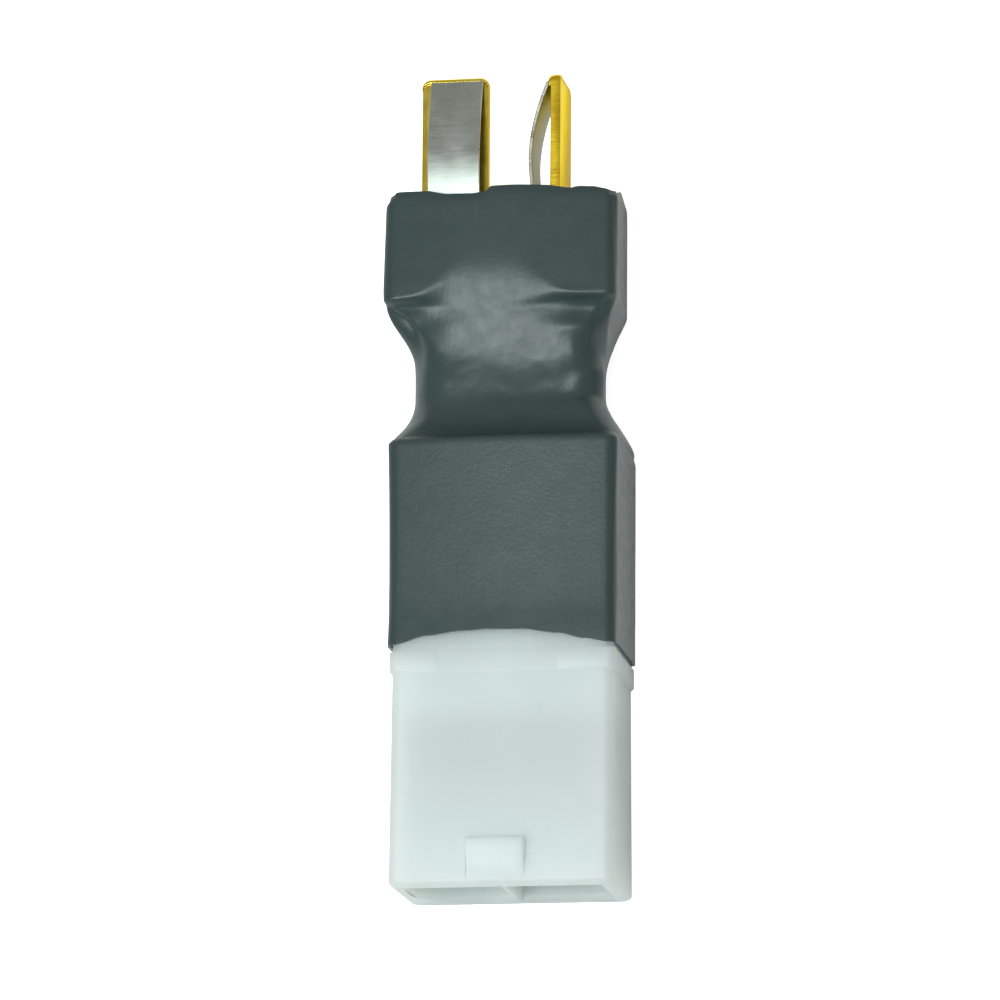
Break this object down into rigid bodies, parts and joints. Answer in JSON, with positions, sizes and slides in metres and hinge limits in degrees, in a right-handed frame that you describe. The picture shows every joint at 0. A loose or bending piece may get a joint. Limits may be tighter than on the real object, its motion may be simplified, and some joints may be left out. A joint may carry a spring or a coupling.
{
  "type": "battery connector adapter",
  "caption": "Adapter with bladed spring contacts at one end and a white block socket with a D-shaped and a square cavity at the other, wired in line under a black heat-shrink sleeve.",
  "frame": {"origin": "centre of the adapter's box across and along, on the surface that its flat back rests on", "axes": "+Y from the socket's mouth to the tips of the blades, +Z out of the front, which carries the latch ramp, and +X across, from the D-shaped cavity to the square one"},
  "size_m": [0.0178, 0.0624, 0.0109],
  "materials": {
    "natural_nylon": "milky, slightly glossy",
    "black_nylon": "satin",
    "gold_plate": "gold-plated, with rolled-edge marks",
    "silver_plate": "silver-plated, satin",
    "pin_brass": "bright rolled brass",
    "solder": "shiny solder",
    "copper_strand": "stranded copper",
    "black_insulation": "matt",
    "red_insulation": "matt",
    "shrink_tube": "satin, like shrunk polyolefin"
  },
  "bodies": {
    "adapter": {"plug_body": "black_nylon", "left_blade": "gold_plate", "right_blade": "gold_plate", "left_solder_joint": "solder", "right_solder_joint": "solder", "left_wire_conductor": "copper_strand", "right_wire_conductor": "copper_strand", "left_wire_insulation": "black_insulation", "right_wire_insulation": "red_insulation", "left_joint_sleeve": "black_insulation", "right_joint_sleeve": "red_insulation", "left_pin_contact": "pin_brass", "right_pin_contact": "pin_brass", "socket_housing": "natural_nylon", "outer_sleeve": "shrink_tube"},
    "left_leaf": {"left_leaf_spring": "silver_plate"},
    "right_leaf": {"right_leaf_spring": "silver_plate"}
  },
  "joints": [
    {"name": "left_leaf_press", "type": "slide", "parent": "adapter", "child": "left_leaf", "axis": [0, 0, -1], "range_m": [0, 0.0009], "stiffness_N_per_m": 9000, "deforming": ["left_leaf_spring"]},
    {"name": "right_leaf_press", "type": "slide", "parent": "adapter", "child": "right_leaf", "axis": [1, 0, 0], "range_m": [0, 0.0009], "stiffness_N_per_m": 9000, "deforming": ["right_leaf_spring"]}
  ]
}
